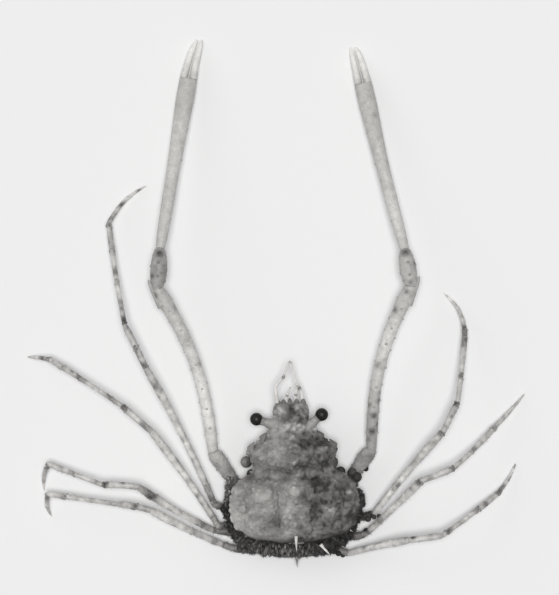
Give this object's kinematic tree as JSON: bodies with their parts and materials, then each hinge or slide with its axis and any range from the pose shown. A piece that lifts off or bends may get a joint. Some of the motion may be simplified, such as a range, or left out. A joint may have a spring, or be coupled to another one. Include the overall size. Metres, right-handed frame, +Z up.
{
  "type": "spider crab model",
  "caption": "Still, life-size model of a small male spider crab lying on its belly, its long claw arms stretched ahead, for display or as a scene prop.",
  "frame": {"origin": "on the floor, below the middle of the whole model's outline", "axes": "+Y towards the crab's head and claws, +X towards its right side, +Z up"},
  "size_m": [0.0426, 0.045, 0.0067],
  "materials": {
    "carapace_shell": "granulated crab shell, mid grey, mottled darker",
    "underside_shell": "smooth pale crab shell",
    "hip_shell": "crab shell under a dark felt of short hairs",
    "claw_shell": "pale finely granulated crab shell, satin",
    "leg_shell": "pale crab shell with dark specks, satin",
    "feeler": "pale horny feeler, satin",
    "eye": "black faceted cornea, glossy"
  },
  "bodies": {
    "root": {"carapace": "carapace_shell", "thorax": "underside_shell", "abdomen": "underside_shell", "maxilliped_left": "underside_shell", "eyestalk_left": "underside_shell", "eye_left": "eye", "antenna_left": "feeler", "claw_coxa_left": "hip_shell", "claw_ischium_left": "claw_shell", "claw_merus_left": "claw_shell", "claw_wrist_left": "claw_shell", "claw_palm_left": "claw_shell", "claw_finger_left": "claw_shell", "maxilliped_right": "underside_shell", "eyestalk_right": "underside_shell", "eye_right": "eye", "antenna_right": "feeler", "claw_coxa_right": "hip_shell", "claw_ischium_right": "claw_shell", "claw_merus_right": "claw_shell", "claw_wrist_right": "claw_shell", "claw_palm_right": "claw_shell", "claw_finger_right": "claw_shell", "leg2_base_left": "hip_shell", "leg2_merus_left": "leg_shell", "leg2_carpus_left": "leg_shell", "leg2_propodus_left": "leg_shell", "leg2_dactyl_left": "leg_shell", "leg3_base_left": "hip_shell", "leg3_merus_left": "leg_shell", "leg3_carpus_left": "leg_shell", "leg3_propodus_left": "leg_shell", "leg3_dactyl_left": "leg_shell", "leg4_base_left": "hip_shell", "leg4_merus_left": "leg_shell", "leg4_carpus_left": "leg_shell", "leg4_propodus_left": "leg_shell", "leg4_dactyl_left": "leg_shell", "leg5_base_left": "hip_shell", "leg5_merus_left": "leg_shell", "leg5_carpus_left": "leg_shell", "leg5_propodus_left": "leg_shell", "leg5_dactyl_left": "leg_shell", "leg3_base_right": "hip_shell", "leg3_merus_right": "leg_shell", "leg3_carpus_right": "leg_shell", "leg3_propodus_right": "leg_shell", "leg3_dactyl_right": "leg_shell", "leg4_base_right": "hip_shell", "leg4_merus_right": "leg_shell", "leg4_carpus_right": "leg_shell", "leg4_propodus_right": "leg_shell", "leg4_dactyl_right": "leg_shell", "leg5_base_right": "hip_shell", "leg5_merus_right": "leg_shell", "leg5_carpus_right": "leg_shell", "leg5_propodus_right": "leg_shell", "leg5_dactyl_right": "leg_shell", "leg2_stump_right": "hip_shell"}
  },
  "joints": []
}
